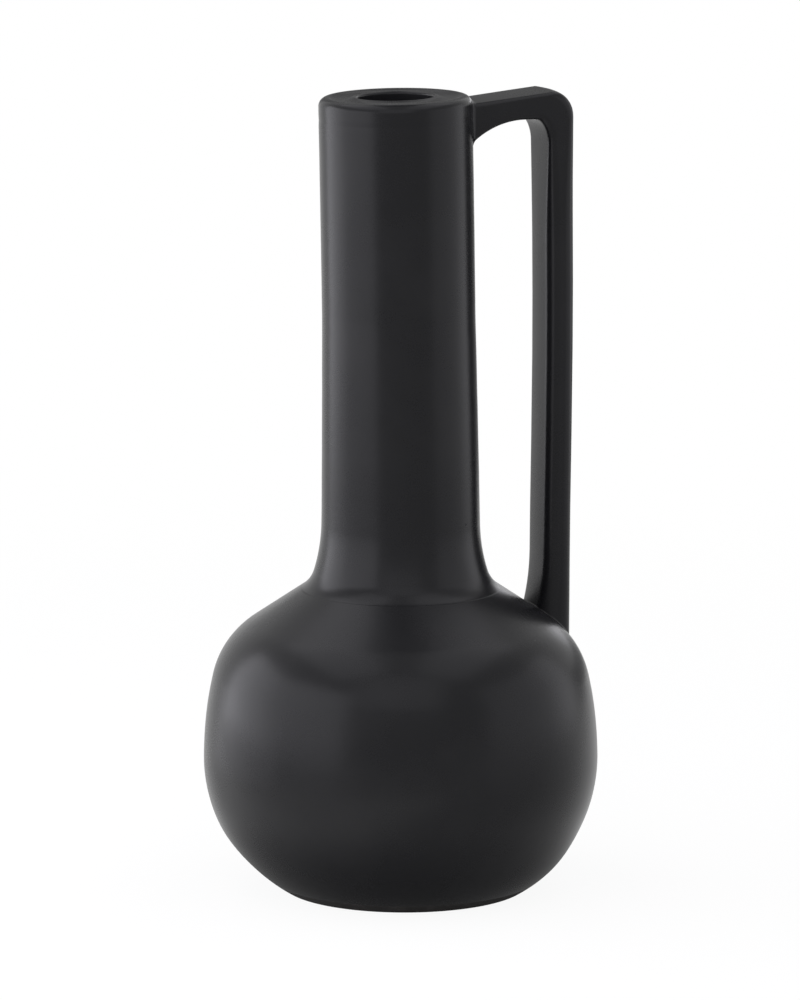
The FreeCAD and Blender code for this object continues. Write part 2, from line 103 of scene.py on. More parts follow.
def by_hand(points):
    """The thrower's hand: what makes this vessel differ from the ideal turned one.

    Above the shoulder the axis leans to the picture's left by LEAN times about the mean
    of the rise and its square, and each level tips with that slope. The foot is cut off
    centre, to the right, by a shift that dies away with the cube of the height. A slight
    oval that twists with the height and the ridges left by the fingers take up to a tenth
    of a millimetre off the radius.
    """
    x, y, z = np.moveaxis(points, -1, 0)
    rise = np.clip(z - LEAN_START, 0, None) / LEAN_HEIGHT
    eased = np.sqrt(rise**2 + EASE_SHARE**2)
    lean = LEAN * (BENT_SHARE * rise**2 + STRAIGHT_SHARE * (eased - EASE_SHARE))
    slope = LEAN / LEAN_HEIGHT * (2 * BENT_SHARE * rise + STRAIGHT_SHARE * rise / eased)
    across = x * PICTURE_RIGHT[0] + y * PICTURE_RIGHT[1]
    tip = TIP_SHARE * slope * (across - TIP_PIVOT) * (rise > 0)
    shift = FOOT_SHIFT * np.exp(-((np.clip(z, 0, None) / FOOT_SHIFT_HEIGHT) ** 3)) - lean
    radius, angle = np.hypot(x, y), np.arctan2(y, x)
    oval = OVAL_DEPTH * (1 - np.cos(2 * angle + z / OVAL_TWIST))
    fingers = FINGER_DEPTH * (1 - np.sin(z / FINGER_PITCH + np.sin(angle)))
    share = 1 - (oval + fingers) / (radius + WAVE_FADE)
    x, y = x * share + shift * PICTURE_RIGHT[0], y * share + shift * PICTURE_RIGHT[1]
    return np.stack([x, y, z + tip], axis=-1)


def net(rows, columns, closed=False):
    """The faces of a grid of points that wraps from its last column to its first.

    A closed net wraps from its last row to its first as well. An open one ends in two
    fans of triangles, round the two points that follow those of the grid.
    """
    row, column = np.meshgrid(np.arange(rows), np.arange(columns), indexing="ij")
    here = row * columns + column
    beside = row * columns + (column + 1) % columns
    if closed:
        above, above_beside = np.roll(here, -1, axis=0), np.roll(beside, -1, axis=0)
        return [np.stack([here, beside, above_beside, above], axis=-1).reshape(-1, 4)]
    quads = np.stack([here[:-1], beside[:-1], beside[1:], here[1:]], axis=-1).reshape(-1, 4)
    low, high = np.full(columns, rows * columns), np.full(columns, rows * columns + 1)
    low_fan = np.stack([low, beside[0], here[0]], axis=-1)
    high_fan = np.stack([high, here[-1], beside[-1]], axis=-1)
    return [quads, low_fan, high_fan]


def shell(name, points, faces):
    """One closed piece: millimetre points and arrays of faces, turned to face outwards."""
    points = points.reshape(-1, 3) * METRES
    triangles = [face[:, [0, i, i + 1]] for face in faces for i in range(1, face.shape[1] - 1)]
    first, second, third = points[np.concatenate(triangles).T]
    if np.einsum("ij,ij->", first, np.cross(second, third)) < 0:
        faces = [face[:, ::-1] for face in faces]
    mesh = bpy.data.meshes.new(name)
    mesh.from_pydata(points.tolist(), [], [corner for face in faces for corner in face.tolist()])
    mesh.shade_smooth()
    mesh.set_sharp_from_angle(angle=math.radians(SHARP_ANGLE))
    piece = bpy.data.objects.new(name, mesh)
    bpy.context.scene.collection.objects.link(piece)
    return piece


def turned(name, loop, poles=False):
    """A turned piece: the loop's radius and height carried once round the axis.

    The grid has one row per point of the loop and one column per angle, and wraps in
    both directions. With poles, the loop starts and ends on the axis instead, and a fan
    of triangles closes each end.
    """
    angle = np.linspace(0, 2 * np.pi, COLUMNS, endpoint=False)
    rows = loop[1:-1] if poles else loop
    radius, height = rows[:, :1], rows[:, 1:]
    x, y = radius * np.cos(angle), radius * np.sin(angle)
    points = np.stack([x, y, np.broadcast_to(height, x.shape)], axis=-1).reshape(-1, 3)
    if poles:
        points = np.concatenate([points, [[0, 0, loop[0, 1]], [0, 0, loop[-1, 1]]]])
    return shell(name, by_hand(points), net(len(rows), COLUMNS, closed=not poles))


class Amount:
    """A number in a shader: sums on it add Math nodes to its finish."""

    def __init__(self, finish, socket):
        self.finish = finish
        self.socket = socket

    def math(self, operation, first, second):
        sums = self.finish.add("ShaderNodeMath", {"operation": operation}, {0: first, 1: second})
        return Amount(self.finish, sums[0])

    def __add__(self, other):
        return self.math("ADD", self, other)

    def __radd__(self, other):
        return self.math("ADD", other, self)

    def __sub__(self, other):
        return self.math("SUBTRACT", self, other)

    def __rsub__(self, other):
        return self.math("SUBTRACT", other, self)

    def __mul__(self, other):
        return self.math("MULTIPLY", self, other)

    def __rmul__(self, other):
        return self.math("MULTIPLY", other, self)

    def held(self, low, high):
        """Clear 0 at low and full 1 at high, whichever is more, with a smooth change between."""
        settings = {"interpolation_type": "SMOOTHSTEP"}
        sockets = {"Value": self, "From Min": low, "From Max": high}
        return Amount(self.finish, self.finish.add("ShaderNodeMapRange", settings, sockets)[0])


class Finish:
    """The nodes of one material or world, from the vessel's coordinates to a shader."""

    def __init__(self, owner):
        self.owner = owner
        owner.use_nodes = True
        self.tree = owner.node_tree
        self.tree.nodes.clear()

    def place(self):
        """The vessel's own coordinates, in metres."""
        return self.add("ShaderNodeTexCoord")["Object"]

    def add(self, kind, settings=None, sockets=None):
        """Any node: its settings first, then a value or a link for each named socket."""
        node = self.tree.nodes.new(kind)
        for name, value in (settings or {}).items():
            setattr(node, name, value)
        for name, value in (sockets or {}).items():
            value = getattr(value, "socket", value)
            if isinstance(value, bpy.types.NodeSocket):
                self.tree.links.new(value, node.inputs[name])
            else:
                node.inputs[name].default_value = value
        return node.outputs

    def cloud(self, grain, detail, rough=0.5):
        """Noise whose patches are about this many millimetres wide."""
        sockets = {"Vector": self.place(), "Scale": 1 / (grain * METRES)}
        sockets |= {"Detail": detail, "Roughness": rough}
        return Amount(self, self.add("ShaderNodeTexNoise", {}, sockets)[0])

    def blend(self, share, first, second):
        """One colour turning into another."""
        return self.add("ShaderNodeMix", {"data_type": "RGBA"}, {0: share, 6: first, 7: second})[2]

    def relief(self, height, depth):
        """Height of this many millimetres as a bump."""
        sockets = {"Height": height, "Distance": depth * METRES, "Strength": 1.0}
        return self.add("ShaderNodeBump", {}, sockets)["Normal"]

    def fire(self, sockets):
        """Close the nodes with a shader that has these constants and links."""
        shader = self.add("ShaderNodeBsdfPrincipled", {}, sockets)["BSDF"]
        self.add("ShaderNodeOutputMaterial", {}, {"Surface": shader})
        return self.owner


def fix(piece, material, node):
    """Give a piece its finish and let it stand for its CAD node."""
    piece.data.materials.append(material)
    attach(piece, "root")
    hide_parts(node)


clay = Finish(bpy.data.materials.new("bare_clay"))
grog = clay.cloud(0.7, 4.0, 0.65)
rubbed = clay.cloud(6.0, 3.0).held(0.45, 0.7)
bare_clay = clay.fire(
    {
        "Base Color": clay.blend(rubbed * grog.held(0.35, 0.6), BARE_CLAY, RUBBED_CLAY),
        "Roughness": 0.78 + 0.1 * grog,
        "Specular IOR Level": 0.3,
        "Normal": clay.relief(grog, 0.12),
    }
)


def underside(height):
    """The belly's radius under the equator, on the lower arc."""
    return BELLY_RADIUS - LOWER_ARC + math.sqrt(LOWER_ARC**2 - (height - EQUATOR) ** 2)


def under_angle(height):
    """The angle of a point of the lower arc seen from the arc's centre."""
    return math.degrees(math.asin((height - EQUATOR) / LOWER_ARC))


lower_centre = (BELLY_RADIUS - LOWER_ARC, EQUATOR)
foot_outer = underside(0)
foot_inner = foot_outer - FOOT_WIDTH
wear_angle = math.degrees(math.asin((FOOT_OUTER_WEAR - EQUATOR) / (LOWER_ARC - FOOT_OUTER_WEAR)))
wear_centre = (
    lower_centre[0] + (LOWER_ARC - FOOT_OUTER_WEAR) * math.cos(math.radians(wear_angle)),
    FOOT_OUTER_WEAR,
)
foot_loop = outline(
    bend(lower_centre, LOWER_ARC, under_angle(FOOT_HEIGHT), wear_angle, 8),
    bend(wear_centre, FOOT_OUTER_WEAR, wear_angle, -90, 8),
    run((wear_centre[0], 0), (foot_inner + FOOT_INNER_WEAR, 0), 6),
    bend((foot_inner + FOOT_INNER_WEAR, FOOT_INNER_WEAR), FOOT_INNER_WEAR, -90, -180, 8),
    run((foot_inner, FOOT_INNER_WEAR), (foot_inner, FOOT_HEIGHT), 5),
    run((foot_inner, FOOT_HEIGHT), (underside(FOOT_HEIGHT), FOOT_HEIGHT), 6)[:-1],
)
foot_ring = turned("foot_ring_clay", foot_loop)
fix(foot_ring, bare_clay, "foot_ring")

# Belly. One thrown bowl that closes in to the shoulder, with its floor as thick as its wall.
# Inside and out it carries the satin black glaze, poured and sprayed on, which is fired
# to a faint orange peel with a few pinholes and a slightly uneven sheen.

WALL = 6.0
SIDE_ARC = 152.6
SIDE_TURN = 12.6
SHOULDER_ARC = 35.8
SHOULDER_TURN = 56.2
SEAM_RADIUS = 39.9
GLAZE = (0.0066, 0.0066, 0.0074, 1)
THIN_GLAZE = (0.0088, 0.0087, 0.0096, 1)
PIT_SPACING = 17.0
PIT_REACH = (0.012, 0.03)

glaze = Finish(bpy.data.materials.new("black_glaze"))
peel = glaze.cloud(3.2, 2.0)
grain = glaze.cloud(0.45, 2.0)
drift = glaze.cloud(38.0, 3.0)
cells = {"Vector": glaze.place(), "Scale": 1 / (PIT_SPACING * METRES)}
from_pit = Amount(glaze, glaze.add("ShaderNodeTexVoronoi", {}, cells)["Distance"])
pit = 1 - from_pit.held(*PIT_REACH)
black_glaze = glaze.fire(
    {
        "Base Color": glaze.blend(drift.held(0.4, 0.75), GLAZE, THIN_GLAZE),
        "Roughness": 0.235 + 0.06 * drift + 0.02 * grain + 0.2 * pit,
        "Specular IOR Level": 0.13,
        "Normal": glaze.relief(0.6 * peel + 0.05 * grain - 2.5 * pit, 0.035),
    }
)


def offset(centre, radius, angle, inwards=0.0):
    """A point on an arc, or a wall's thickness inside it."""
    turn = math.radians(angle)
    return (
        centre[0] + (radius - inwards) * math.cos(turn),
        centre[1] + (radius - inwards) * math.sin(turn),
    )


side_centre = (BELLY_RADIUS - SIDE_ARC, EQUATOR)
shoulder_centre = offset(offset(side_centre, SIDE_ARC, SIDE_TURN), -SHOULDER_ARC, SIDE_TURN)
shoulder_top = offset(shoulder_centre, SHOULDER_ARC, SHOULDER_TURN)
slant = math.tan(math.radians(SHOULDER_TURN))
SEAM_HEIGHT = shoulder_top[1] + (shoulder_top[0] - SEAM_RADIUS) / slant
inner_top = offset(shoulder_centre, SHOULDER_ARC, SHOULDER_TURN, WALL)
inner_seam = (inner_top[0] - (SEAM_HEIGHT - inner_top[1]) * slant, SEAM_HEIGHT)
floor_top = FOOT_HEIGHT + WALL
floor_angle = math.degrees(math.asin((floor_top - EQUATOR) / (LOWER_ARC - WALL)))
floor_corner = offset(lower_centre, LOWER_ARC, floor_angle, WALL)

belly_side = outline(
    bend(lower_centre, LOWER_ARC, under_angle(FOOT_HEIGHT), 0, 40),
    bend(side_centre, SIDE_ARC, 0, SIDE_TURN, 18),
    bend(shoulder_centre, SHOULDER_ARC, SIDE_TURN, SHOULDER_TURN, 20),
    run(shoulder_top, (SEAM_RADIUS, SEAM_HEIGHT), 14),
)
belly_loop = outline(
    run((0, FOOT_HEIGHT), (underside(FOOT_HEIGHT), FOOT_HEIGHT), 12),
    belly_side,
    run((SEAM_RADIUS, SEAM_HEIGHT), inner_seam, 6),
    run(inner_seam, inner_top, 8),
    bend(shoulder_centre, SHOULDER_ARC - WALL, SHOULDER_TURN, SIDE_TURN, 14),
    bend(side_centre, SIDE_ARC - WALL, SIDE_TURN, 0, 10),
    bend(lower_centre, LOWER_ARC - WALL, 0, floor_angle, 24),
    run(floor_corner, (0, floor_top), 12),
)
belly = turned("belly_bowl", belly_loop, poles=True)
fix(belly, black_glaze, "belly")

# Neck luting. A ring of soft clay worked into the corner where the neck is joined to the
# shoulder, and smoothed to a hollow with a wet finger before the glazing.

COVE_RADIUS = 12.7
COVE_END = 17.2

seam = (SEAM_RADIUS, SEAM_HEIGHT)
cove_centre = offset(seam, COVE_RADIUS, SHOULDER_TURN)
cove_top = offset(cove_centre, -COVE_RADIUS, COVE_END)
cove = bend(cove_centre, COVE_RADIUS, SHOULDER_TURN + 180, COVE_END + 180, 22)
luting_loop = outline(
    cove,
    run(cove_top, (cove_top[0], SEAM_HEIGHT), 6),
    run((cove_top[0], SEAM_HEIGHT), seam, 6)[:-1],
)
neck_luting = turned("neck_luting_clay", luting_loop)
fix(neck_luting, black_glaze, "neck_luting")

# Neck. A tall tube thrown on its own, a little wider at the root, tapering in its lower
# half and then straight. It has leant about two millimetres in the drying.

ROOT_ARC = 69.8
NECK_RADIUS = 30.5
TAPER_TOP = 233.3
VESSEL_HEIGHT = 320.0
MOUTH_HEIGHT = 9.0
CREASE = 0.08
CREASE_REACH = 2.0

NECK_TOP = VESSEL_HEIGHT - MOUTH_HEIGHT
root_centre = offset(cove_top, ROOT_ARC, COVE_END)
away = (NECK_RADIUS - root_centre[0], TAPER_TOP - root_centre[1])
root_end = math.degrees(math.atan2(away[1], away[0]) + math.acos(ROOT_ARC / math.hypot(*away))) % 360
root_top = offset(root_centre, ROOT_ARC, root_end)
root_inner_top = offset(root_centre, ROOT_ARC + WALL, root_end)
inner_foot_angle = 180 + math.degrees(math.asin((root_centre[1] - SEAM_HEIGHT) / (ROOT_ARC + WALL)))
inner_foot = offset(root_centre, ROOT_ARC + WALL, inner_foot_angle)
neck_side = outline(
    bend(root_centre, ROOT_ARC, COVE_END + 180, root_end, 20),
    run(root_top, (NECK_RADIUS, TAPER_TOP), 16),
    run((NECK_RADIUS, TAPER_TOP), (NECK_RADIUS, NECK_TOP - CREASE_REACH), 12),
    run((NECK_RADIUS, NECK_TOP - CREASE_REACH), (NECK_RADIUS - CREASE, NECK_TOP), 7),
)
neck_loop = outline(
    neck_side,
    run((NECK_RADIUS - CREASE, NECK_TOP), (NECK_RADIUS - WALL, NECK_TOP), 5),
    run((NECK_RADIUS - WALL, NECK_TOP), (NECK_RADIUS - WALL, TAPER_TOP), 8),
    run((NECK_RADIUS - WALL, TAPER_TOP), root_inner_top, 10),
    bend(root_centre, ROOT_ARC + WALL, root_end, inner_foot_angle, 14),
    run(inner_foot, (cove_top[0], SEAM_HEIGHT), 6),
    run((cove_top[0], SEAM_HEIGHT), cove_top, 5)[:-1],
)
neck = turned("neck_tube", neck_loop)
fix(neck, black_glaze, "neck")

# Mouth ring. The rim is thickened inwards to a flat collar: a rounded lip outside, a
# shallow hollow, and a low ridge round the pouring bore.

BORE_RADIUS = 15.2
LIP_RADIUS = 3.6
RIDGE_RADIUS = 1.1
HOLLOW_RADIUS = 10.5

lip_centre = np.array([NECK_RADIUS - LIP_RADIUS, VESSEL_HEIGHT - LIP_RADIUS])
ridge_centre = np.array([BORE_RADIUS + RIDGE_RADIUS, VESSEL_HEIGHT - RIDGE_RADIUS])
between = ridge_centre - lip_centre
gap = np.linalg.norm(between)
lip_reach = HOLLOW_RADIUS + LIP_RADIUS
ridge_reach = HOLLOW_RADIUS + RIDGE_RADIUS
along = (lip_reach**2 - ridge_reach**2 + gap**2) / (2 * gap)
aside = math.sqrt(lip_reach**2 - along**2)
inward = between / gap
hollow_centre = lip_centre + inward * along + np.array([inward[1], -inward[0]]) * aside
to_hollow = hollow_centre - lip_centre
from_ridge = hollow_centre - ridge_centre
lip_end = math.degrees(math.atan2(to_hollow[1], to_hollow[0]))
ridge_start = math.degrees(math.atan2(from_ridge[1], from_ridge[0]))
mouth_side = outline(
    run((NECK_RADIUS - CREASE, NECK_TOP), (NECK_RADIUS, NECK_TOP + CREASE_REACH), 7),
    run((NECK_RADIUS, NECK_TOP + CREASE_REACH), (NECK_RADIUS, lip_centre[1]), 6),
)
mouth_loop = outline(
    mouth_side,
    bend(lip_centre, LIP_RADIUS, 0, lip_end, 22),
    bend(hollow_centre, HOLLOW_RADIUS, lip_end + 180, ridge_start + 180, 12),
    bend(ridge_centre, RIDGE_RADIUS, ridge_start, 180, 16),
    run((BORE_RADIUS, ridge_centre[1]), (BORE_RADIUS, NECK_TOP), 8),
    run((BORE_RADIUS, NECK_TOP), (NECK_RADIUS - CREASE, NECK_TOP), 8)[:-1],
)
mouth_ring = turned("mouth_ring_rim", mouth_loop)
fix(mouth_ring, black_glaze, "mouth_ring")

# Handle. One strap of clay, pulled flat between wet fingers, set upright on the shoulder
# and bent over to the neck under the lip. Its long edges are soft, its root on the neck is
# thicker, and its foot spreads a little on the shoulder.

HANDLE_INSET = 8.75
HANDLE_WIDTH = 23.2
POST_THICKNESS = 11.7
ARM_THICKNESS = 11.0
ARM_EDGE = 2.2
POST_EDGE = 4.7
CORNER_RADIUS = 8.6
CROOK = np.array([5.6, 10.5])
ARM_RISE = 5.6
ARCH_RUN = 4.3
ARCH_DROP = 8.6
ROOT_DEPTH = 4.0
DEEPER = 7.0
FLARE_RADIUS = 85.0
FLARE_TURN = 25.0
FLARE_RISE = 10.7
FOOT_DEPTH = 12.0
ARM_POINTS = 120
CORNER_POINTS = 90
POST_POINTS = 200
FLARE_POINTS = 120

handle_out = BELLY_RADIUS - HANDLE_INSET
handle_in = handle_out - POST_THICKNESS
arm_root = NECK_RADIUS - ROOT_DEPTH
arm_under = VESSEL_HEIGHT - ARM_THICKNESS
flare_start = SEAM_HEIGHT + FLARE_RISE
corner_centre = (handle_out - CORNER_RADIUS, VESSEL_HEIGHT - CORNER_RADIUS)
corner_start = offset(corner_centre, CORNER_RADIUS, 90 + ARM_RISE)
crook_centre = np.array([handle_in, arm_under]) - CROOK
arch_start = (crook_centre[0] - ARCH_RUN, arm_under)
arch_end = (arm_root, arm_under - ARCH_DROP)
arch_run = arch_start[0] - arm_root
arch_radius = (arch_run**2 + ARCH_DROP**2) / (2 * ARCH_DROP)
arch_centre = (arch_start[0], arm_under - arch_radius)
arch_turn = math.degrees(math.asin(arch_run / arch_radius))
flare_centre = (handle_in - FLARE_RADIUS, flare_start)
flare_end = offset(flare_centre, FLARE_RADIUS, -FLARE_TURN)
deep_x = arm_root - DEEPER
deep_top = (deep_x, corner_start[1] - (corner_start[0] - deep_x) * math.tan(math.radians(ARM_RISE)))
deep_low = (deep_x, arch_end[1] - DEEPER * math.tan(math.radians(arch_turn)))


def even(points, count):
    """A line's points spaced evenly along it."""
    length = np.concatenate([[0], np.cumsum(np.linalg.norm(np.diff(points, axis=0), axis=1))])
    places = np.linspace(0, length[-1], count)
    return np.stack([np.interp(places, length, points[:, i]) for i in range(2)], axis=-1)


stretches = [
    (
        run(deep_top, corner_start),
        outline(
            run(deep_low, arch_end),
            bend(arch_centre, arch_radius, 90 + arch_turn, 90, 60),
            run(arch_start, (crook_centre[0], arm_under)),
        ),
        ARM_POINTS,
    ),
    (
        bend(corner_centre, CORNER_RADIUS, 90 + ARM_RISE, 0, 80),
        crook_centre + CROOK * bend((0, 0), 1, 90, 0, 80),
        CORNER_POINTS,
    ),
    (
        run((handle_out, corner_centre[1]), (handle_out, flare_start)),
        run((handle_in, crook_centre[1]), (handle_in, flare_start)),
        POST_POINTS,
    ),
    (
        run((handle_out, flare_start), (handle_out, flare_end[1] - FOOT_DEPTH)),
        bend(flare_centre, FLARE_RADIUS, 0, -FLARE_TURN, 80),
        FLARE_POINTS,
    ),
]
outer_line = outline(*[even(outer, count) for outer, inner, count in stretches])
inner_line = outline(*[even(inner, count) for outer, inner, count in stretches])
middle = (outer_line + inner_line) / 2
travel = np.concatenate([[0], np.cumsum(np.linalg.norm(np.diff(middle, axis=0), axis=1))])

straight = np.linspace(-1, 1, 17)[1:-1]
quarter = np.radians(np.linspace(0, 90, 13))
half_width = HANDLE_WIDTH / 2


def section(thickness, edge):
    """Once round the strap: two flat faces, two sides and four rounded corners.

    Gives, for every column, how far out from the middle line it lies and how far across.
    The corners are quarter circles of radius edge.
    """
    half = thickness / 2
    out = half - edge
    side = half_width - edge
    sine, cosine = edge * np.sin(quarter), edge * np.cos(quarter)
    whole = np.ones_like(straight)
    parts = [
        (out + cosine, side + sine),
        (out * -straight, half_width * whole),
        (-out - sine, side + cosine),
        (-half * whole, side * -straight),
        (-out - cosine, -side - sine),
        (out * straight, -half_width * whole),
        (out + sine, -side - cosine),
        (half * whole, side * straight),
    ]
    outs, sides = zip(*parts)
    return np.concatenate(outs), np.concatenate(sides)


arm_out, arm_side = section(ARM_THICKNESS, ARM_EDGE)
post_out, post_side = section(POST_THICKNESS, POST_EDGE)
COLUMN_COUNT = len(post_out)
arm_length = travel[ARM_POINTS]
corner_length = travel[ARM_POINTS + CORNER_POINTS - 1]

# The strap's faces are crowned, by these millimetres at the edges. Its edges turn softer
# from just before the corner to some way down the post. The post isn't quite straight:
# at these heights it bows out by so many millimetres.

CROWN = 0.12
INNER_CROWN = 0.8
KNUCKLE = 0.55
SLIM_SHARE = 0.58
SOFT_LEAD = 4.0
SOFT_TRAIL = 41.0
soft_start = arm_length - SOFT_LEAD
soft_end = corner_length + SOFT_TRAIL
BOW_HEIGHTS = (100, 128, 150, 180, 215, 240, 280, 312)
BOW = (-0.45, -0.45, -0.3, 0.1, 0.42, 0.42, 0.1, 0.0)
BOW_START = 40.0
BOW_REACH = 15.0


def strap(place, column):
    """A point of the strap from its place along the middle line and its column round it.

    The middle line's point plus the column's reach towards the outer line, plus its
    reach across. The section turns from the arm's to the rounder one of the post by a
    cubic step, and both faces fall towards the edges with the square of the reach across,
    most of all outside the bend. Where the edges are sharper the strap is slimmer.
    """
    out_x, out_z = (np.interp(place, travel, outer_line[:, i]) for i in range(2))
    in_x, in_z = (np.interp(place, travel, inner_line[:, i]) for i in range(2))
    thickness = np.hypot(out_x - in_x, out_z - in_z)
    turn = np.clip((place - soft_start) / (soft_end - soft_start), 0, 1)
    turn = turn * turn * (3 - 2 * turn)
    down = np.clip((place - arm_length) / (corner_length - arm_length), 0, 1)
    nominal = ARM_THICKNESS + turn * (POST_THICKNESS - ARM_THICKNESS)
    outs = arm_out[column] + turn * (post_out[column] - arm_out[column])
    sides = arm_side[column] + turn * (post_side[column] - arm_side[column])
    knuckle = 4 * KNUCKLE * down * (1 - down)
    crown = CROWN + np.where(outs < 0, turn * (INNER_CROWN - CROWN), knuckle)
    fall = 2 * crown / nominal * (sides / half_width) ** 2
    slim = SLIM_SHARE * down * (1 - turn) * (POST_EDGE - ARM_EDGE)
    share = outs / nominal * (1 - fall) * (1 - slim / thickness)
    middle_x, middle_z = (out_x + in_x) / 2, (out_z + in_z) / 2
    on_post = np.clip((middle_x - BOW_START) / BOW_REACH, 0, 1)
    x = middle_x + np.interp(middle_z, BOW_HEIGHTS, BOW) * on_post + share * (out_x - in_x)
    return np.stack([x, sides, middle_z + share * (out_z - in_z)], axis=-1)


lip_shoulder = bend(lip_centre, LIP_RADIUS, 0, 90, 22)
vessel_side = outline(belly_side, cove, neck_side, mouth_side, lip_shoulder)


def outside(points):
    """How far points are outside the vessel, measured level from its hand-made surface."""
    ideal = points.copy()
    for again in range(4):
        ideal = ideal + points - by_hand(ideal)
    radius = np.interp(ideal[..., 2], vessel_side[:, 1], vessel_side[:, 0])
    return np.hypot(ideal[..., 0], ideal[..., 1]) - radius


def meeting(low, high, columns):
    """Where each column crosses the vessel, by halving the stretch between two places."""
    low, high = np.full(COLUMN_COUNT, low), np.full(COLUMN_COUNT, high)
    starts_inside = outside(strap(low, columns)) < 0
    for again in range(40):
        half = (low + high) / 2
        still = (outside(strap(half, columns)) < 0) == starts_inside
        low, high = np.where(still, half, low), np.where(still, high, half)
    return (low + high) / 2


# The strap's ends are trimmed on the vessel, each column where it meets the surface, and
# sunk a little into it. Rows near an end bend along with that trim.

OPEN_ARM_SHARE = 0.6
OPEN_POST = 60.0
SUNK = 0.4
ARM_ROWS = 36
CORNER_ROWS = 30
POST_ROWS = 110
ROOT_FADE = 1.5
FOOT_FADE = 4

columns = np.arange(COLUMN_COUNT)
root_place = meeting(0.0, arm_length * OPEN_ARM_SHARE, columns)
foot_place = meeting(travel[-1], corner_length + OPEN_POST, columns)
root_middle, foot_middle = root_place.mean(), foot_place.mean()
rows = np.concatenate(
    [
        arm_length * np.linspace(0, 1, ARM_ROWS)[:-1],
        arm_length + (corner_length - arm_length) * np.linspace(0, 1, CORNER_ROWS)[:-1],
        corner_length + (foot_middle - corner_length) * np.linspace(0, 1, POST_ROWS),
    ]
)
rows = rows + root_middle * np.clip(1 - rows / arm_length, 0, 1)
near_root = np.clip(1 - (rows - root_middle) / (arm_length - root_middle), 0, 1) ** ROOT_FADE
near_foot = np.clip((rows - corner_length) / (foot_middle - corner_length), 0, 1) ** FOOT_FADE
places = (
    rows[:, None]
    + near_root[:, None] * (root_place - root_middle - SUNK)
    + near_foot[:, None] * (foot_place - foot_middle + SUNK)
)
grid = strap(places, np.broadcast_to(columns, places.shape))
ends = np.stack([grid[0].mean(axis=0), grid[-1].mean(axis=0)])
points = np.concatenate([grid.reshape(-1, 3), ends])
handle = shell("handle_strap", points, net(len(rows), COLUMN_COUNT))
fix(handle, black_glaze, "handle")

# Handle lutings. A bead of clay pressed round each end of the strap and smoothed with a
# modelling tool, so that the strap runs into the vessel in a small hollow curve.

UPPER_BEAD = 2.0
LOWER_BEAD = 1.0
KEYED = 0.08
BACK = 0.9
PROBE = 0.02
BEAD_ROWS = 12


def unit(vectors):
    """Vectors cut to a length of 1."""
    return vectors / np.linalg.norm(vectors, axis=-1, keepdims=True)


def slopes(points):
    """How much outside() changes per millimetre along X, Y and Z, over a probe each way."""
    probes = PROBE * np.eye(3)
    changes = [outside(points + probe) - outside(points - probe) for probe in probes]
    return np.stack(changes, axis=-1) / (2 * PROBE)


def onto_vessel(points):
    """Points moved along the normal, by the distance over the slope, until on the vessel."""
    for again in range(8):
        steep = np.linalg.norm(slopes(points), axis=-1, keepdims=True)
        points = points - outside(points)[..., None] / steep * unit(slopes(points))
    return points


def bead(name, joint, along_strap, size):
    """A ring of clay along the joint between strap and vessel.

    In front it is a quadratic curve from a point on the strap, by the joint, to a point
    on the vessel, both the bead's size away. Behind, it is sunk a little into both.
    """
    corner = strap(joint, columns)
    on_strap = strap(joint + along_strap * size, columns)
    round_strap = np.roll(on_strap, -1, axis=0) - np.roll(on_strap, 1, axis=0)
    away = unit(np.cross(round_strap, on_strap - corner))
    if np.einsum("ij,ij->", away, corner - corner.mean(axis=0)) < 0:
        away = -away
    away = unit(onto_vessel(corner + size * away) - corner)
    on_vessel = onto_vessel(corner + size * away)
    inwards = -unit(slopes(on_vessel))
    start = on_strap - KEYED * away
    finish = on_vessel + KEYED * inwards
    share = crowded(BEAD_ROWS)[:, None, None]
    front = (1 - share) ** 2 * start + 2 * share * (1 - share) * corner + share**2 * finish
    behind = [
        on_vessel + BACK * inwards,
        corner - BACK * away - BACK * unit(slopes(corner)),
        on_strap - BACK * away,
    ]
    grid = np.concatenate([front, np.stack(behind)])
    return shell(name, grid, net(len(grid), COLUMN_COUNT, closed=True))


upper_luting = bead("upper_handle_luting_clay", root_place, 1, UPPER_BEAD)
lower_luting = bead("lower_handle_luting_clay", foot_place, -1, LOWER_BEAD)
fix(upper_luting, black_glaze, "upper_handle_luting")
fix(lower_luting, black_glaze, "lower_handle_luting")

# Studio. A pale floor without an end, and large soft lamps at the sides and above. Grey
# cards behind the vessel, low at its right and overhead keep the white out of the glaze
# there: each glows evenly at its grey, hidden from the camera and casting no shadow, as
# painted shade seen only in reflections. In reflections the floor shows a painted shadow,
# a dim grey glow, by the foot, and a painted glow brighter than white ahead on the left.

FLOOR_GREY = (0.8, 0.8, 0.8, 1)
# The next grey is a painted shadow: the floor's dim glow in reflections by the foot, which turns to
# white over the reach given below.
PAINTED_FLOOR_SHADOW_GREY = (0.2, 0.2, 0.2, 1)
WHITE = (1, 1, 1, 1)
# The next colour is a painted glow: brighter than white, shown by the floor only in reflections
# ahead on the left.
PAINTED_LEFT_GLOW = (1.8, 1.8, 1.8, 1)
SHADOW_SHARE = 0.08
SHADOW_REACH = (0.25, 1.0)
PAINTED_SHADOW_REACH = (0.045, 0.125)
GLOW_REACH = (0.08, 0.2)
GLOW_FADE = (0.45, 0.25)

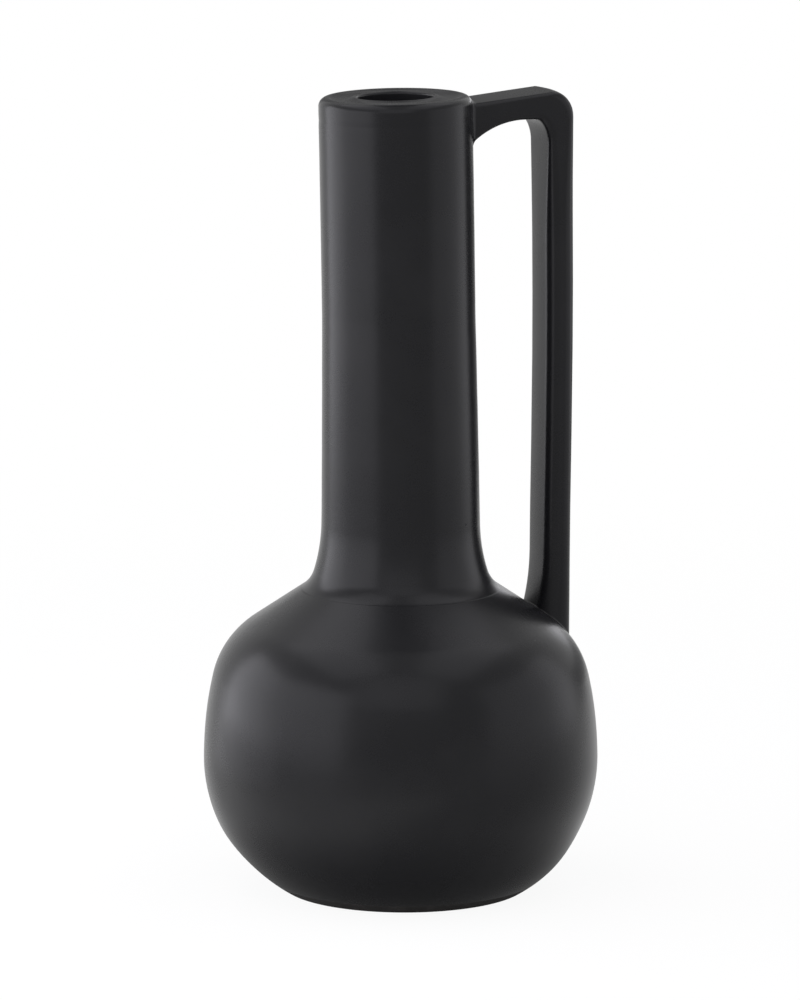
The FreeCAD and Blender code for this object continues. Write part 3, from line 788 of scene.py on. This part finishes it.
to_camera = np.array([PICTURE_RIGHT[1], -PICTURE_RIGHT[0]])
ahead_left = (*(to_camera - PICTURE_RIGHT), 0)
paper = Finish(bpy.data.materials.new("white_paper"))
path = paper.add("ShaderNodeLightPath")
seen = Amount(paper, path["Is Camera Ray"])
mirrored = Amount(paper, path["Is Glossy Ray"]) + Amount(paper, path["Is Transmission Ray"])
spot = paper.place()
length = paper.add("ShaderNodeVectorMath", {"operation": "LENGTH"}, {0: spot})["Value"]
along = paper.add("ShaderNodeVectorMath", {"operation": "DOT_PRODUCT"}, {0: spot, 1: ahead_left})
from_foot, to_left = Amount(paper, length), Amount(paper, along["Value"])
# Where the painted glow lies: ahead on the left of the foot, fading with the distance, in
# reflections only.
painted_glow_share = to_left.held(*GLOW_REACH) * from_foot.held(*GLOW_FADE) * mirrored
matte = paper.add("ShaderNodeBsdfDiffuse", {}, {"Color": FLOOR_GREY})[0]
# A painted shadow: the dim grey glow that the floor shows in reflections by the foot.
dark = paper.add("ShaderNodeEmission", {}, {"Color": PAINTED_FLOOR_SHADOW_GREY})[0]
white = paper.add("ShaderNodeEmission", {}, {"Color": WHITE})[0]
# The painted glow itself, an emission brighter than white.
painted_glow = paper.add("ShaderNodeEmission", {}, {"Color": PAINTED_LEFT_GLOW})[0]
bright = paper.add("ShaderNodeMixShader", {}, {0: painted_glow_share, 1: white, 2: painted_glow})[0]
unlit = paper.add("ShaderNodeMixShader", {}, {0: mirrored, 1: matte, 2: dark})[0]
bleached = (1 - SHADOW_SHARE) + SHADOW_SHARE * from_foot.held(*SHADOW_REACH)
share = bleached * seen + from_foot.held(*PAINTED_SHADOW_REACH) * mirrored
mixed = paper.add("ShaderNodeMixShader", {}, {0: share, 1: unlit, 2: bright})[0]
paper.add("ShaderNodeOutputMaterial", {}, {"Surface": mixed})

FLOOR_REACH = 9
ground = bpy.data.meshes.new("floor")
sheet = [(x * FLOOR_REACH, y * FLOOR_REACH, 0) for x, y in ((-1, -1), (1, -1), (1, 1), (-1, 1))]
ground.from_pydata(sheet, [], [(0, 1, 2, 3)])
ground.materials.append(paper.owner)
floor = bpy.data.objects.new("floor", ground)
bpy.context.scene.collection.objects.link(floor)

LAMP_TINT = (0.94, 0.935, 1.0)


def from_camera(azimuth, elevation, distance, height):
    """A place round the vessel, its azimuth counted from the camera to the picture's right."""
    turn = VIEW_AZIMUTH + math.radians(azimuth)
    level = distance * math.cos(math.radians(elevation))
    rise = distance * math.sin(math.radians(elevation))
    return (level * math.sin(turn), -level * math.cos(turn), height + rise)


def aim(thing, target):
    """Turn a lamp or camera so that it looks at the target."""
    thing.rotation_euler = (Vector(target) - thing.location).to_track_quat("-Z", "Y").to_euler()


def softbox(name, azimuth, elevation, distance, height, size, brightness):
    """A soft lamp that faces the vessel's axis at this height, with its width and height.

    Its energy is brightness times pi times its area, so its face looks that bright.
    """
    lamp = bpy.data.lights.new(name, "AREA")
    lamp.shape = "RECTANGLE"
    lamp.size, lamp.size_y = size
    lamp.energy = brightness * math.pi * size[0] * size[1]
    lamp.color = LAMP_TINT
    thing = bpy.data.objects.new(name, lamp)
    thing.location = from_camera(azimuth, elevation, distance, height)
    aim(thing, (0, 0, height))
    thing.visible_camera = False
    bpy.context.scene.collection.objects.link(thing)


# Each lamp: azimuth and elevation in degrees, distance, height and size in metres, and
# brightness.

softbox("left_front_softbox", -60, 0, 1.0, 0.375, (1.04, 0.75), 2.75)
softbox("left_back_softbox", -106, 0, 1.0, 0.375, (0.69, 0.75), 3.7)
softbox("low_left_softbox", -98, 0, 0.32, 0.04, (0.34, 0.08), 1.0)
softbox("right_softbox", 75, 0, 1.0, 0.375, (0.87, 0.75), 0.9)
softbox("right_back_softbox", 111, 0, 1.0, 0.375, (0.42, 0.75), 1.2)
softbox("high_front_softbox", 0, 30, 1.7, 0.35, (1.6, 1.4), 1.0)
softbox("high_left_softbox", -90, 66, 1.4, 0.16, (1.6, 0.75), 1.8)
softbox("high_right_softbox", 90, 66, 1.4, 0.16, (1.6, 0.75), 1.3)
softbox("right_rim_softbox", 161, 0, 1.2, 0.33, (0.42, 0.24), 1.3)

CARD_DISTANCE = 1.0
CEILING_HEIGHT = 1.35


def card(name, corners, grey):
    """A grey card with its corners at these places. It glows evenly at its grey, hidden from the
    camera and casting no shadow: painted shade seen only in reflections.
    """
    mesh = bpy.data.meshes.new(name)
    mesh.from_pydata(corners, [], [(0, 1, 2, 3)])
    tone = Finish(bpy.data.materials.new(name))
    glow = tone.add("ShaderNodeEmission", {}, {"Color": (grey, grey, grey, 1)})[0]
    tone.add("ShaderNodeOutputMaterial", {}, {"Surface": glow})
    mesh.materials.append(tone.owner)
    thing = bpy.data.objects.new(name, mesh)
    thing.visible_camera = False
    thing.visible_shadow = False
    bpy.context.scene.collection.objects.link(thing)


def upright(first, last, low, high):
    """The corners of a card that stands between two azimuths and two heights."""
    corners = ((first, low), (last, low), (last, high), (first, high))
    return [from_camera(azimuth, 0, CARD_DISTANCE, z) for azimuth, z in corners]


# These cards are painted shade in the glaze's reflections: each glows evenly at its grey, hidden
# from the camera and casting no shadow.
card("back_card", upright(167, 202, 0.34, 0.85), 0.28)
card("right_card", upright(130, 163, 0.0, 0.2), 0.3)
overhead = [(-115, 0.25), (115, 0.25), (164, 0.8), (-164, 0.8)]
card("ceiling_card", [from_camera(side, 0, out, CEILING_HEIGHT) for side, out in overhead], 0.15)

FILL_LIGHT = 0.6
BACKDROP_LIGHT = 1.0

sky = Finish(bpy.data.worlds.new("studio"))
path = sky.add("ShaderNodeLightPath")
mirrored = Amount(sky, path["Is Glossy Ray"]) + Amount(sky, path["Is Transmission Ray"])
dim = sky.add("ShaderNodeBackground", {}, {"Color": WHITE, "Strength": FILL_LIGHT})[0]
bright = sky.add("ShaderNodeBackground", {}, {"Color": WHITE, "Strength": BACKDROP_LIGHT})[0]
share = Amount(sky, path["Is Camera Ray"]) + mirrored
mixed = sky.add("ShaderNodeMixShader", {}, {0: share, 1: dim, 2: bright})[0]
sky.add("ShaderNodeOutputWorld", {}, {"Surface": mixed})
bpy.context.scene.world = sky.owner

# Camera, at the photograph's angle and distance. Its long lens keeps the upright lines
# nearly parallel, and it looks a hair to the left of the axis.

LENS = 252
SENSOR = 36
CAMERA_DISTANCE = 2.792
CAMERA_ELEVATION = 10.165
AIM_LEFT = 0.00027
AIM_HEIGHT = 0.1575

lens = bpy.data.cameras.new("camera")
lens.lens = LENS
lens.sensor_width = SENSOR
camera = bpy.data.objects.new("camera", lens)
beside_axis = Vector((*(-AIM_LEFT * PICTURE_RIGHT), 0))
stand = Vector(from_camera(0, CAMERA_ELEVATION, CAMERA_DISTANCE, AIM_HEIGHT))
camera.location = stand + beside_axis
aim(camera, beside_axis + Vector((0, 0, AIM_HEIGHT)))
bpy.context.scene.collection.objects.link(camera)
bpy.context.scene.camera = camera
bpy.context.scene.view_settings.view_transform = "Standard"

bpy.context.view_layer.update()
